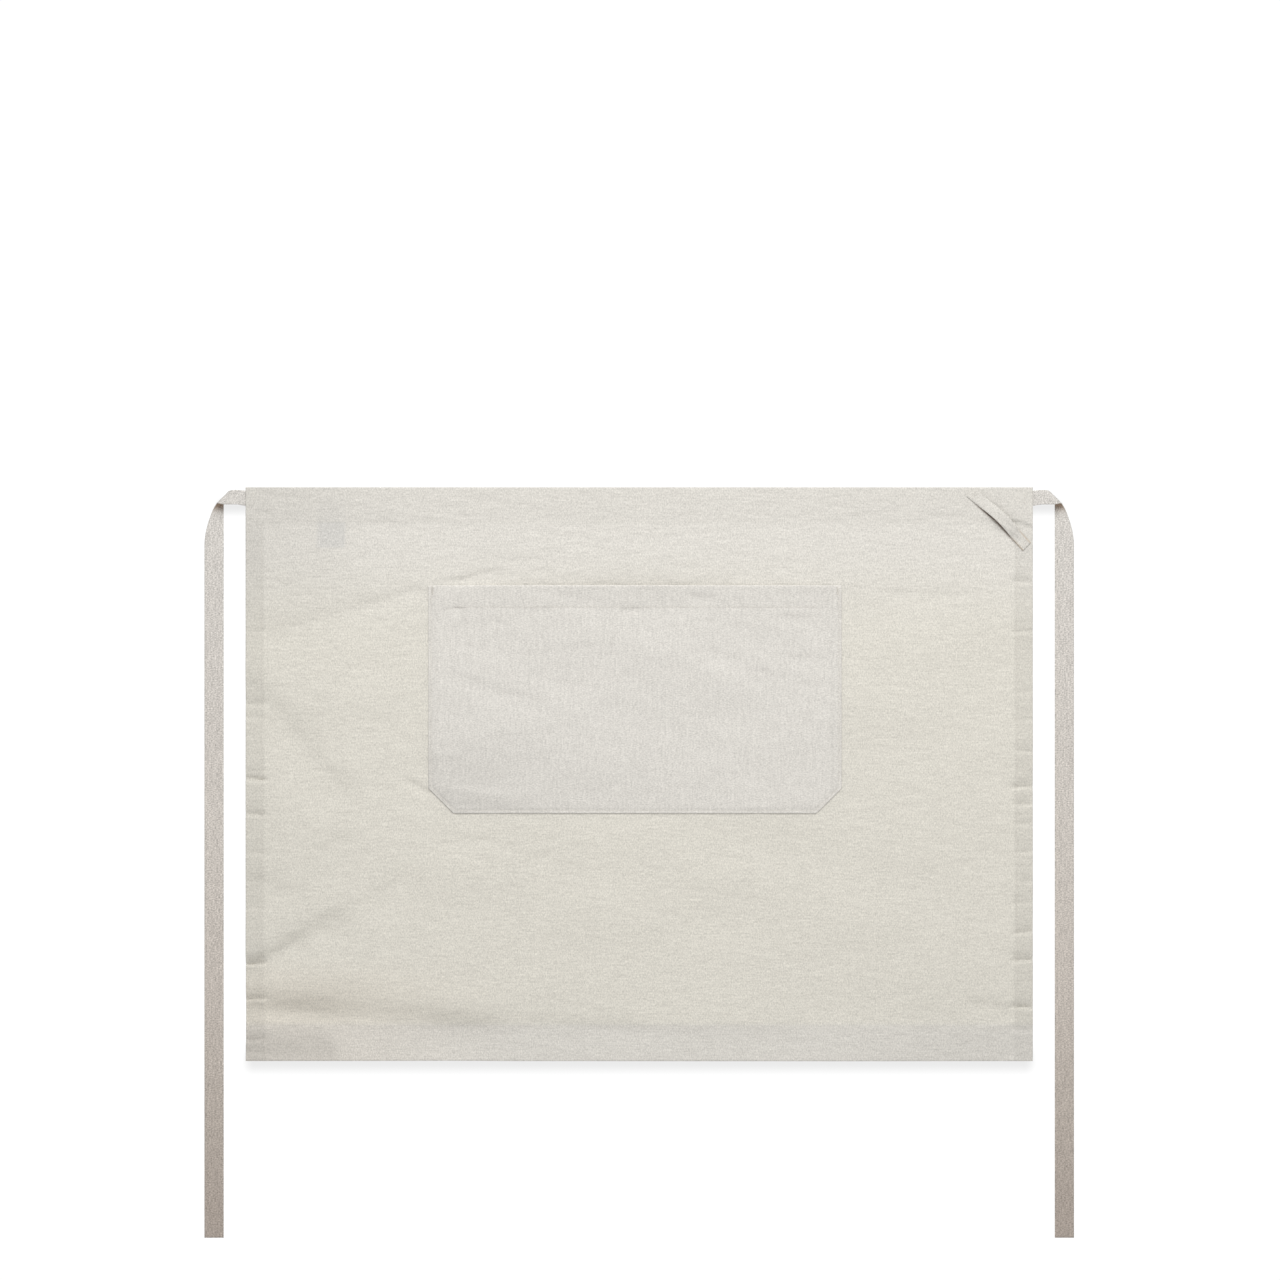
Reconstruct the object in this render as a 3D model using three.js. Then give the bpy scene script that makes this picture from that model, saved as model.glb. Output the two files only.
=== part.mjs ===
// A linen waist apron hung flat by its waistband, in millimetres.
// +X points to the viewer's right, -Y to the front of the apron and +Z up.
// The origin is the middle of the top hem's rear face.
// The cloth lies in flat layers. Each layer keeps a small gap to the next one.

import * as THREE from 'three';

// Sewn sizes of the apron body.
const bodyWidth = 800;
const bodyHeight = 583;
const topHemDepth = 36;
const bottomHemDepth = 36;
const sideHemWidth = 18;
const skirtFoldZ = -52;

// Patch pocket. Its middle is a little to the left of the body's middle.
const pocketWidth = 420;
const pocketHeight = 231.5;
const pocketMiddleX = -4.3;
const pocketTopZ = -81.6;
const pocketChamfer = 25.4;
const pocketEdgeWidth = 6;
const pocketBulge = 8;
const pocketMouthHemDepth = 23.5;

// Ties. Each leaves the side edge level, is folded over at 45 degrees and hangs down.
const tieThickness = 0.8;
const tieLevelZ = 7.5;
const tieHiddenLength = 15.7;
const tieLength = 797;
const tieFoldAt = 18.1;
const tieFoldRadius = 4.5;
const tieHingeZ = -50;

// Hanging loop across the top right corner.
const loopUpperEnd = new THREE.Vector2(336.9, 13.4);
const loopLowerEnd = new THREE.Vector2(394, -41.9);
const loopWidth = 11;
const loopPadLength = 9;
const loopHeight = 6;
const loopMovingHalf = 17;

// Care label on the back, held by the top hem's seam.
const labelWidth = 27.4;
const labelHeight = 24;
const labelMiddleX = -312.7;
const labelThickness = 0.5;

// Cloth, thread and clearances.
const cloth = 0.6;
const threadDepth = 0.3;
const threadWidth = 0.6;
const gap = 0.3;
const foldGap = 1;

// Layers, from the back of the apron to its front.
const turningRearY = 0;
const panelRearY = -cloth - gap;
const panelFrontY = panelRearY - cloth;
const pocketRearY = panelFrontY - gap;
const pocketFrontY = pocketRearY - cloth;

// Places that follow from the sizes above.
const topZ = topHemDepth / 2;
const topHemLowerZ = -topHemDepth / 2;
const bottomZ = topZ - bodyHeight;
const halfWidth = bodyWidth / 2;
const pocketBottomZ = pocketTopZ - pocketHeight;

const panelLinen = new THREE.MeshStandardMaterial({ color: 0xddd9cf, roughness: 0.95, metalness: 0 });
const pocketLinen = new THREE.MeshStandardMaterial({ color: 0xdbd7cd, roughness: 0.95, metalness: 0 });
const hemLinen = new THREE.MeshStandardMaterial({ color: 0xd6d1c7, roughness: 0.95, metalness: 0 });
const tieLinen = new THREE.MeshStandardMaterial({ color: 0xc9c2b8, roughness: 0.95, metalness: 0 });
const loopLinen = new THREE.MeshStandardMaterial({ color: 0xdedad1, roughness: 0.95, metalness: 0 });
const thread = new THREE.MeshStandardMaterial({ color: 0xe2ded3, roughness: 0.7, metalness: 0 });
const labelTape = new THREE.MeshStandardMaterial({ color: 0xeeeeec, roughness: 0.6, metalness: 0 });

const apron = new THREE.Group();

function addMesh(name, geometry, material, parent = apron) {
  const mesh = new THREE.Mesh(geometry, material);
  mesh.name = name;
  parent.add(mesh);
  return mesh;
}

// A flat upright layer between two corners, with its rear face at rearY.
function layer(name, x0, x1, z0, z1, rearY, thickness, material) {
  const mesh = addMesh(name, new THREE.BoxGeometry(x1 - x0, thickness, z1 - z0), material);
  mesh.position.set((x0 + x1) / 2, rearY - thickness / 2, (z0 + z1) / 2);
  return mesh;
}

// A straight run of thread on the front of the layer whose front face is at faceY.
function straightSeam(name, x0, x1, z0, z1, faceY) {
  return layer(name, x0, x1, z0, z1, faceY - gap, threadDepth, thread);
}

// Moves every vertex of a geometry to the place that the function returns for it.
function reshape(geometry, place) {
  const position = geometry.attributes.position;
  const point = new THREE.Vector3();
  for (let i = 0; i < position.count; i += 1) {
    point.fromBufferAttribute(position, i);
    position.setXYZ(i, ...place(point).toArray());
  }
  geometry.computeVertexNormals();
  return geometry;
}

function smoothstep(from, to, value) {
  return THREE.MathUtils.smoothstep(value, from, to);
}

// ---- Apron body: front cloth, turned hems behind it, and their seams ----

function makeUpperBody() {
  layer('upper_panel', -halfWidth, halfWidth, skirtFoldZ + foldGap, topZ, panelRearY, cloth, panelLinen);
  const hemEnd = halfWidth - tieHiddenLength - 2 * gap;
  layer('top_hem', -hemEnd, hemEnd, topHemLowerZ, topZ, turningRearY, cloth, hemLinen);
  const seamZ = topHemLowerZ + 2;
  straightSeam('top_hem_seam', 4 - halfWidth, halfWidth - 4, seamZ, seamZ + threadWidth, panelFrontY);
  const inner = halfWidth - sideHemWidth + 2;
  const sideTop = -1.2;
  const sideBottom = skirtFoldZ + foldGap;
  layer('left_upper_side_hem', -halfWidth, -inner, sideBottom, sideTop, turningRearY, cloth, hemLinen);
  layer('right_upper_side_hem', inner, halfWidth, sideBottom, sideTop, turningRearY, cloth, hemLinen);
}

function makeSkirt() {
  const skirtTop = skirtFoldZ - foldGap;
  const bottomHemTop = bottomZ + bottomHemDepth;
  layer('skirt_panel', -halfWidth, halfWidth, bottomZ, skirtTop, panelRearY, cloth, panelLinen);
  layer('bottom_hem', -halfWidth, halfWidth, bottomZ, bottomHemTop, turningRearY, cloth, hemLinen);
  const inner = halfWidth - sideHemWidth;
  const hemBottom = bottomHemTop + gap;
  layer('left_side_hem', -halfWidth, -inner, hemBottom, skirtTop, turningRearY, cloth, hemLinen);
  layer('right_side_hem', inner, halfWidth, hemBottom, skirtTop, turningRearY, cloth, hemLinen);

  const seamInner = inner + 1.5;
  const seamOuter = seamInner + threadWidth;
  const seamBottom = bottomHemTop - 1;
  straightSeam('left_side_seam', -seamOuter, -seamInner, seamBottom, skirtTop - 2, panelFrontY);
  straightSeam('right_side_seam', seamInner, seamOuter, seamBottom, skirtTop - 2, panelFrontY);
  const hemSeamTop = bottomHemTop - 2;
  const hemSeamBottom = hemSeamTop - threadWidth;
  straightSeam('bottom_hem_seam', 4 - halfWidth, halfWidth - 4, hemSeamBottom, hemSeamTop, panelFrontY);
}

// ---- Pocket: sewn edge and seam on the skirt, and the leaf that opens ----

// The pocket's left, bottom and right sides with cut corners, moved inwards by inset.
function pocketPath(inset) {
  const left = pocketMiddleX - pocketWidth / 2 + inset;
  const right = pocketMiddleX + pocketWidth / 2 - inset;
  const bottom = pocketBottomZ + inset;
  const corner = pocketChamfer + inset * Math.tan(Math.PI / 8) - inset;
  return [
    new THREE.Vector2(left, pocketTopZ),
    new THREE.Vector2(left, bottom + corner),
    new THREE.Vector2(left + corner, bottom),
    new THREE.Vector2(right - corner, bottom),
    new THREE.Vector2(right, bottom + corner),
    new THREE.Vector2(right, pocketTopZ),
  ];
}

// A band along the pocket's three sewn sides, between two insets.
function pocketBand(name, outerInset, innerInset, rearY, depth, material) {
  const outline = [...pocketPath(outerInset), ...pocketPath(innerInset).reverse()];
  const extrusion = { depth, bevelEnabled: false };
  const geometry = new THREE.ExtrudeGeometry(new THREE.Shape(outline), extrusion);
  geometry.rotateX(Math.PI / 2);
  addMesh(name, geometry, material).position.y = rearY;
}

function makePocketEdge() {
  const seamInset = 2.4;
  pocketBand('pocket_edge', 0, pocketEdgeWidth, pocketRearY, cloth, pocketLinen);
  pocketBand('pocket_seam', seamInset, seamInset + threadWidth, pocketFrontY - gap, threadDepth, thread);
  const tackLength = 8;
  const tackWidth = 1.8;
  const tackInset = seamInset + threadWidth + gap;
  const tackTop = pocketTopZ - 1;
  const left = pocketMiddleX - pocketWidth / 2 + tackInset;
  const right = pocketMiddleX + pocketWidth / 2 - tackInset;
  const tackBottom = tackTop - tackLength;
  straightSeam('left_pocket_bar_tack', left, left + tackWidth, tackBottom, tackTop, pocketFrontY);
  straightSeam('right_pocket_bar_tack', right - tackWidth, right, tackBottom, tackTop, pocketFrontY);
}

const leafInset = pocketEdgeWidth + foldGap;
const leafHalfWidth = pocketWidth / 2 - leafInset;
const leafBottomZ = pocketBottomZ + leafInset;
const leafHeight = pocketTopZ - leafBottomZ;

// How far the slack leaf stands off the panel: nothing at its sewn sides, most at the mouth's middle.
function leafStandOff(x, z) {
  const across = (x - pocketMiddleX) / leafHalfWidth;
  const up = (z - leafBottomZ) / leafHeight;
  return pocketBulge * (1 - across * across) * up;
}

// A grid of cloth that follows the leaf, from inside local coordinates of the flat leaf.
function onLeaf(name, halfSpan, z0, z1, rows, rearY, thickness, material) {
  const columns = 16;
  const geometry = new THREE.BoxGeometry(2 * halfSpan, thickness, z1 - z0, columns, 1, rows);
  const middle = new THREE.Vector3(pocketMiddleX, rearY - thickness / 2, (z0 + z1) / 2);
  reshape(geometry, (point) => {
    point.add(middle);
    point.y -= leafStandOff(point.x, point.z);
    return point;
  });
  addMesh(name, geometry, material);
}

// The leaf's two lower corners are cut, so its lowest row of cloth is drawn in.
function makePocketLeaf() {
  const columns = 16;
  const rows = 8;
  const corner = pocketPath(leafInset)[2].x - pocketPath(leafInset)[1].x;
  const geometry = new THREE.BoxGeometry(2, cloth, rows, columns, 1, rows);
  reshape(geometry, (point) => {
    const row = point.z + rows / 2;
    const upperRowHeight = (leafHeight - corner) / (rows - 1);
    const z = leafBottomZ + (row < 0.5 ? 0 : corner + (row - 1) * upperRowHeight);
    const half = leafHalfWidth - (row < 0.5 ? corner : 0);
    const x = pocketMiddleX + point.x * half;
    return new THREE.Vector3(x, pocketRearY - cloth / 2 + point.y - leafStandOff(x, z), z);
  });
  addMesh('pocket_leaf', geometry, pocketLinen);

  const mouthHemBottom = pocketTopZ - pocketMouthHemDepth;
  const mouthHalf = leafHalfWidth - 18;
  onLeaf('pocket_mouth_hem', mouthHalf, mouthHemBottom, pocketTopZ, 1, pocketRearY + cloth + gap, cloth, hemLinen);
  const seamBottom = mouthHemBottom + 1.5;
  const seamTop = seamBottom + threadWidth;
  onLeaf('pocket_mouth_seam', mouthHalf, seamBottom, seamTop, 1, pocketFrontY - gap, threadDepth, thread);
}

// ---- Ties ----

// The two edges of the flat tie. It is bunched at the fold, and its outer edge spreads quickly below it.
function tieUpperEdge(along) {
  return 7.2 + 0.6 * smoothstep(0, 10, along) - 3.4 * smoothstep(18, 36, along);
}

function tieLowerEdge(along) {
  const spread = THREE.MathUtils.clamp((along - 34) / 42, 0, 1);
  const level = -7.6 + 1.3 * smoothstep(0, 10, along) + 2.6 * smoothstep(22, 34, along);
  return level - 10.85 * Math.sin(spread * Math.PI / 2);
}

// The place of a point of the flat right-hand tie after the 45-degree fold.
// along runs from the apron's side edge, across is upwards, and out is towards the tie's face side.
function foldedTie(along, across, out) {
  const levelY = panelRearY + gap + tieThickness / 2;
  const pastFold = (along - tieFoldAt + across) / Math.SQRT2;
  const onFold = (along - tieFoldAt - across) / Math.SQRT2;
  const turn = THREE.MathUtils.clamp(pastFold / tieFoldRadius, 0, Math.PI);
  const afterTurn = Math.max(pastFold - Math.PI * tieFoldRadius, 0);
  const radius = tieFoldRadius + out;
  const reach = Math.min(pastFold, 0) + radius * Math.sin(turn) - afterTurn;
  return new THREE.Vector3(
    halfWidth + tieFoldAt + (onFold + reach) / Math.SQRT2,
    levelY + tieFoldRadius - radius * Math.cos(turn),
    tieLevelZ + (reach - onFold) / Math.SQRT2,
  );
}

// side is 1 for the right-hand tie and -1 for the left-hand one, its mirror image.
function tieStretch(name, side, from, to, steps, stepsAcross) {
  const geometry = new THREE.BoxGeometry(to - from, 2, tieThickness, steps, stepsAcross, 1);
  reshape(geometry, (point) => {
    const along = point.x + (from + to) / 2;
    const upper = tieUpperEdge(along);
    const lower = tieLowerEdge(along);
    const across = (upper + lower + side * point.y * (upper - lower)) / 2;
    const place = foldedTie(along, across, point.z);
    place.x *= side;
    return place;
  });
  addMesh(name, geometry, tieLinen);
}

function makeTie(word, side) {
  // Distance along the tie at which its hanging part passes a height.
  const alongAt = (z) => tieFoldAt + tieLevelZ + Math.PI * tieFoldRadius / Math.SQRT2 - z;
  tieStretch(`${word}_tie_fold`, side, -tieHiddenLength, alongAt(tieHingeZ + foldGap), 52, 8);
  tieStretch(`${word}_tie_tail`, side, alongAt(tieHingeZ - foldGap), tieLength - tieHiddenLength, 24, 2);
  const stitchX = halfWidth - tieHiddenLength / 2;
  const stitchHalf = 7;
  const x0 = side * stitchX - threadWidth / 2;
  const low = tieLevelZ - stitchHalf;
  straightSeam(`${word}_tie_stitch`, x0, x0 + threadWidth, low, tieLevelZ + stitchHalf, panelFrontY);
}

// ---- Hanging loop: one strip whose two ends are sewn down ----

function makeLoop() {
  const chord = loopLowerEnd.clone().sub(loopUpperEnd);
  const half = chord.length() / 2;
  const archHalf = half - loopPadLength;
  chord.normalize();
  const along = new THREE.Vector3(chord.x, 0, chord.y);
  const across = new THREE.Vector3(-chord.y, 0, chord.x);
  const outwards = new THREE.Vector3(0, -1, 0);
  const frame = new THREE.Group();
  frame.quaternion.setFromRotationMatrix(new THREE.Matrix4().makeBasis(along, across, outwards));
  const middle = loopUpperEnd.clone().add(loopLowerEnd).multiplyScalar(0.5);
  frame.position.set(middle.x, pocketRearY, middle.y);
  apron.add(frame);

  const standOff = (distance) => {
    const share = Math.min(Math.abs(distance) / archHalf, 1);
    return loopHeight * Math.cos(share * Math.PI / 2) ** 2;
  };
  const strip = (name, from, to, steps) => {
    const geometry = new THREE.BoxGeometry(to - from, loopWidth, cloth, steps, 1, 1);
    reshape(geometry, (point) => {
      point.x += (from + to) / 2;
      point.z += cloth / 2 + standOff(point.x);
      return point;
    });
    addMesh(name, geometry, loopLinen, frame);
  };
  strip('loop_upper_end', -half, -loopMovingHalf - gap, 8);
  strip('hanging_loop', -loopMovingHalf, loopMovingHalf, 16);
  strip('loop_lower_end', loopMovingHalf + gap, half, 8);

  const stitch = (name, distance) => {
    const geometry = new THREE.BoxGeometry(threadWidth, loopWidth - 2, threadDepth);
    const height = cloth + gap + threadDepth / 2;
    addMesh(name, geometry, thread, frame).position.set(distance, 0, height);
  };
  const stitchAt = half - loopPadLength / 2;
  stitch('loop_upper_stitch', -stitchAt);
  stitch('loop_lower_stitch', stitchAt);
}

// ---- Care label ----

function makeLabel() {
  const top = topHemLowerZ - foldGap - 0.2;
  const x0 = labelMiddleX - labelWidth / 2;
  const rearY = turningRearY + 0.4 + labelThickness;
  layer('care_label', x0, x0 + labelWidth, top - labelHeight, top, rearY, labelThickness, labelTape);
}

makeUpperBody();
makeSkirt();
makePocketEdge();
makePocketLeaf();
makeTie('left', -1);
makeTie('right', 1);
makeLoop();
makeLabel();

export default apron;
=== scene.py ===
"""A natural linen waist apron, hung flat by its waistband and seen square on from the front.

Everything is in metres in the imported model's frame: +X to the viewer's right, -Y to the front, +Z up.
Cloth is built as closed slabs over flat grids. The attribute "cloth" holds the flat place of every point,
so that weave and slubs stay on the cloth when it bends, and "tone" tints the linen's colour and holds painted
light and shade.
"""

import math

import bpy
import numpy as np
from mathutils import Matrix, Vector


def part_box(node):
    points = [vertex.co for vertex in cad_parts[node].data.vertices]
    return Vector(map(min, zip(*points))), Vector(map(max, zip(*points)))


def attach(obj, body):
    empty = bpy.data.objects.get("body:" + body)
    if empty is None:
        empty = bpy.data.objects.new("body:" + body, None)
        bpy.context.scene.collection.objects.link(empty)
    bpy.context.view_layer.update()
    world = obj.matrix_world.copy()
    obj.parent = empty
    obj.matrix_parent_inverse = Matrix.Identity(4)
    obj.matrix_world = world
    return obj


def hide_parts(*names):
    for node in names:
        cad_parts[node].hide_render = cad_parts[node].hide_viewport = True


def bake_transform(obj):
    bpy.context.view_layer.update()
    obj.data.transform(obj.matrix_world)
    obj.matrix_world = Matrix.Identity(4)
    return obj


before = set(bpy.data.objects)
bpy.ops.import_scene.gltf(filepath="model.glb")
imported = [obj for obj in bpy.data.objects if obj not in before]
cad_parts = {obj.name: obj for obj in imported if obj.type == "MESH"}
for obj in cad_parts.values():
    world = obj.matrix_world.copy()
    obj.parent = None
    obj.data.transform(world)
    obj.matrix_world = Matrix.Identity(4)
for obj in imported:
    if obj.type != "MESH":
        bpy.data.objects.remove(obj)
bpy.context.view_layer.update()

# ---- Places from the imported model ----

PANEL_LO, PANEL_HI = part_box("upper_panel")
TOP_HEM_LO, TOP_HEM_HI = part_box("top_hem")
POCKET_LO, POCKET_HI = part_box("pocket_edge")
MOUTH_HEM_LO, MOUTH_HEM_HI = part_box("pocket_mouth_hem")
LABEL_LO, LABEL_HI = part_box("care_label")

HALF = PANEL_HI.x
TOP = PANEL_HI.z
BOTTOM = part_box("skirt_panel")[0].z
CLOTH = PANEL_HI.y - PANEL_LO.y
PANEL_Y = (PANEL_LO.y + PANEL_HI.y) / 2
PANEL_FRONT = PANEL_LO.y
HEM_REAR = TOP_HEM_HI.y
TOP_HEM_Z = TOP_HEM_LO.z
BOTTOM_HEM_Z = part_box("bottom_hem")[1].z
SIDE_HEM_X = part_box("right_side_hem")[0].x


def middle_of(node):
    low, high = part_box(node)
    return (low + high) / 2


SIDES = (("left", -1), ("right", 1))
TOP_SEAM_Z = middle_of("top_hem_seam").z
BOTTOM_SEAM_Z = middle_of("bottom_hem_seam").z
SIDE_SEAM_X = middle_of("right_side_seam").x
MOUTH_SEAM_Z = middle_of("pocket_mouth_seam").z

# ---- Camera, made first ----

SCENE = bpy.context.scene
VIEW_WIDTH = 1.3015
VIEW_DISTANCE = 5.0
VIEW_DROP = 0.1550
VIEW_ASIDE = 0.0008


def new_object(name, data):
    made = bpy.data.objects.new(name, data)
    SCENE.collection.objects.link(made)
    return made


def make_camera():
    data = bpy.data.cameras.new("camera")
    data.sensor_width = 36
    data.lens = data.sensor_width * VIEW_DISTANCE / VIEW_WIDTH
    camera = new_object("camera", data)
    camera.location = (VIEW_ASIDE, PANEL_FRONT - VIEW_DISTANCE, TOP - VIEW_DROP)
    camera.rotation_euler = (math.radians(90), 0, 0)
    SCENE.camera = camera


make_camera()

# ---- Small helpers on arrays ----


def smooth(low, high, value):
    """0 below low, 1 above high, with a soft step between them."""
    t = np.clip((value - low) / (high - low), 0, 1)
    return t * t * (3 - 2 * t)


def bell(distance, width):
    return np.exp(-((distance / width) ** 2))


WAVES = 14


def ripples(u, v, wave_u, wave_v, seed):
    """A soft random field of about unit height, from waves of about the given lengths."""
    rng = np.random.default_rng(seed)
    total = np.zeros(np.broadcast(u, v).shape)
    for _ in range(WAVES):
        turn_u = 2 * math.pi / (wave_u * rng.uniform(0.6, 1.9)) * rng.choice((-1, 1))
        turn_v = 2 * math.pi / (wave_v * rng.uniform(0.6, 1.9))
        total = total + np.sin(turn_u * u + turn_v * v + rng.uniform(0, 2 * math.pi))
    return total / math.sqrt(WAVES / 2)


def grid_lines(first, *stretches):
    """Grid lines from first through each (end, spacing) stretch."""
    found = [np.array([first])]
    for end, spacing in stretches:
        steps = max(1, round(abs(end - first) / spacing))
        found.append(np.linspace(first, end, steps + 1)[1:])
        first = end
    return np.concatenate(found)


def grey(level):
    """A tone that darkens all three colours alike."""
    return np.stack([level] * 3, axis=-1)


# ---- Meshes ----

SHARP_ANGLE = 62
# How far a rounded rim stands out of the grid's edge, in cloth thicknesses.
RIM_REACH = 0.42
# The two faces of a layer take their weave from places this far apart on each side of the seed.
FACE_SHIFT = 0.4


def new_piece(name, points, faces, cloth, tone, material):
    mesh = bpy.data.meshes.new(name)
    mesh.from_pydata(points.tolist(), [], faces)
    flat = mesh.attributes.new("cloth", "FLOAT_VECTOR", "POINT")
    flat.data.foreach_set("vector", cloth.astype(np.float32).ravel())
    tint = mesh.attributes.new("tone", "FLOAT_COLOR", "POINT")
    opaque = np.concatenate([tone, np.ones((len(tone), 1))], axis=1)
    tint.data.foreach_set("color", opaque.astype(np.float32).ravel())
    mesh.polygons.foreach_set("use_smooth", [True] * len(mesh.polygons))
    mesh.set_sharp_from_angle(angle=math.radians(SHARP_ANGLE))
    mesh.materials.append(material)
    return new_object(name, mesh)


def slab(name, u, v, place, thickness, material, flat=None, tone=None, square=(), flip=False, seed=0.0):
    """A closed layer of cloth over the grid lines u and v.

    place(u, v, out) gives the points; out is the height off the middle surface, towards the face side.
    flat(u, v) gives the flat place in the cloth where that isn't (u, v) itself.
    tone(u, v, out) gives the tint. square names the sides, of u0 u1 v0 v1, that meet another piece:
    the others are rounded.
    """
    uu, vv = (a.ravel() for a in np.meshgrid(u, v))
    at = np.arange(uu.size).reshape(len(v), len(u))
    edge = np.concatenate([at[0, :-1], at[:-1, -1], at[-1, :0:-1], at[:0:-1, 0]])
    proud = RIM_REACH * thickness
    push_u, push_v = np.zeros(uu.size), np.zeros(uu.size)
    push_u[at[:, 0]] -= proud * ("u0" not in square)
    push_u[at[:, -1]] += proud * ("u1" not in square)
    push_v[at[0, :]] -= proud * ("v0" not in square)
    push_v[at[-1, :]] += proud * ("v1" not in square)
    flat_u = np.concatenate([uu, uu, uu[edge]])
    flat_v = np.concatenate([vv, vv, vv[edge]])
    out = np.concatenate([np.full(uu.size, 0.5), np.full(uu.size, -0.5), np.zeros(edge.size)]) * thickness
    points = place(flat_u, flat_v, out)

    rim = np.arange(edge.size) + 2 * uu.size
    outward = rim_direction(at, edge, points, push_u, push_v)
    points[rim] += outward

    quads = np.stack([at[:-1, :-1], at[:-1, 1:], at[1:, 1:], at[1:, :-1]], axis=-1).reshape(-1, 4)
    after, rim_after = np.roll(edge, -1), np.roll(rim, -1)
    faces = np.concatenate([
        quads,
        quads[:, ::-1] + uu.size,
        np.stack([edge, rim, rim_after, after], axis=-1),
        np.stack([rim, edge + uu.size, after + uu.size, rim_after], axis=-1),
    ])
    if flip:
        faces = faces[:, ::-1]
    flat_u, flat_v = (flat_u, flat_v) if flat is None else flat(flat_u, flat_v)
    cloth = np.stack([flat_u, flat_v, seed + np.sign(out) * FACE_SHIFT], axis=-1)
    tint = np.ones((flat_u.size, 3)) if tone is None else tone(flat_u, flat_v, out)
    return new_piece(name, points, faces.tolist(), cloth, tint, material)


def rim_direction(at, edge, points, push_u, push_v):
    """How far each rim point moves out of the grid's edge, along the cloth."""
    grid = points[:at.size].reshape(at.shape + (3,))
    along_u = np.gradient(grid, axis=1)
    along_v = np.gradient(grid, axis=0)
    along_u /= np.linalg.norm(along_u, axis=2, keepdims=True) + 1e-12
    along_v /= np.linalg.norm(along_v, axis=2, keepdims=True) + 1e-12
    moved = along_u.reshape(-1, 3) * push_u[:, None] + along_v.reshape(-1, 3) * push_v[:, None]
    return moved[edge]


def stand_in(piece, slot, *nodes):
    """A piece that is shown in place of CAD nodes."""
    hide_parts(*nodes)


# Stitch length, stitch pitch and thread radius.
STITCH = 0.0026
STITCH_PITCH = 0.0032
THREAD = 0.0003
FORWARD = np.array([0.0, -1.0, 0.0])


def thread_piece(name, runs):
    """Short stitches of thread. Each run is its start, its end and the direction out of the cloth there."""
    sides = 6
    shares = (0.0, 0.1, 0.3, 0.7, 0.9, 1.0)
    swell = (0.2, 0.75, 1.0, 1.0, 0.75, 0.2)
    points, faces = [], []
    for start, end, outward in runs:
        along = end - start
        across = np.cross(along, outward)
        across = across / np.linalg.norm(across)
        up = np.cross(across, along)
        up = up / np.linalg.norm(up)
        first = len(points)
        for share, fat in zip(shares, swell):
            middle = start + along * share - up * THREAD * (1 - fat)
            for k in range(sides):
                turn = 2 * math.pi * k / sides
                points.append(middle + THREAD * fat * (across * math.cos(turn) + up * math.sin(turn)))
        for ring in range(len(shares) - 1):
            for k in range(sides):
                a = first + ring * sides + k
                b = first + ring * sides + (k + 1) % sides
                faces.append((b, a, a + sides, b + sides))
        last = first + (len(shares) - 1) * sides
        faces.append(tuple(first + k for k in range(sides)))
        faces.append(tuple(last + k for k in reversed(range(sides))))
    points = np.array(points)
    return new_piece(name, points, faces, points.copy(), np.ones((len(points), 3)), THREAD_LINEN)


def stitches(path, surface, proud=0.3, outward=-1):
    """Runs of thread along flat (x, z) places. surface(x, z) is the cloth's outer face as a Y value.

    outward is -1 on the front and 1 on the back, and proud is how far the thread's middle stands out,
    in thread radii.
    """
    path = np.array(path, float)
    reach = np.concatenate([[0], np.cumsum(np.linalg.norm(np.diff(path, axis=0), axis=1))])
    count = int(reach[-1] // STITCH_PITCH)
    first = (reach[-1] - count * STITCH_PITCH + STITCH_PITCH - STITCH) / 2
    begin = first + np.arange(count) * STITCH_PITCH
    places = np.stack([begin, begin + STITCH])
    x = np.interp(places, reach, path[:, 0])
    z = np.interp(places, reach, path[:, 1])
    starts, ends = np.stack([x, surface(x, z) + outward * proud * THREAD, z], axis=-1)
    return [(start, end, -outward * FORWARD) for start, end in zip(starts, ends)]


# ---- The drape: how far the hanging cloth stands forward of its flat place ----

# Soft folds and creases as (x, z) start, (x, z) end, width and depth, in millimetres. The upper side is
# the sharp one, and a negative depth is a ridge.
PANEL_CREASES = (
    ((-420, -514), (-150, -539), 20.5, 7.2),
    ((-424, -508), (-300, -523), 11.5, 2.8),
    ((-215, -530), (30, -538), 13, 2.8),
    ((-70, -536), (180, -539), 10, 1.1),
    ((330, -508), (398, -514), 7, 1.8),
    ((-414, -487), (-300, -420), 13, 4.2),
    ((-330, -434), (-222, -374), 11, 1.9),
    ((-402, -476), (-340, -440), 9, 3),
    ((-214, -83), (-290, -105), 5, 1),
    ((-262, -101), (-394, -136), 11, 1.8),
    ((-400, -180), (-345, -240), 12, 2.2),
    ((-356, -234), (-296, -302), 14, 2.7),
    ((-205, -80), (-138, -66), 3.5, 1.3),
    ((-154, -55), (-94, -56), 3, 0.5),
    ((-294, -335), (-330, -353), 4, 0.9),
    ((-396, -384), (-340, -398), 9, 1.8),
    ((-240, -278), (-213, -293), 3.2, 1.5),
    ((-210, -344), (-143, -340), 4, 0.7),
    ((-126, -366), (-82, -351), 4, 0.7),
    ((146, -461), (182, -468), 4, 0.6),
    ((246, -88), (344, -93), 4.5, 0.7),
    ((330, -445), (398, -462), 8, 1),
    ((-290, -18), (-236, -19), 3, 0.5),
    ((-392, -7), (-376, -8), 2.5, 0.6),
    ((-392, -19), (-370, -19), 2.5, 0.7),
    ((286, -11), (336, -12), 3, 0.4),
    ((376, -16.5), (402, -23.5), 3, 1.6),
)
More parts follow.
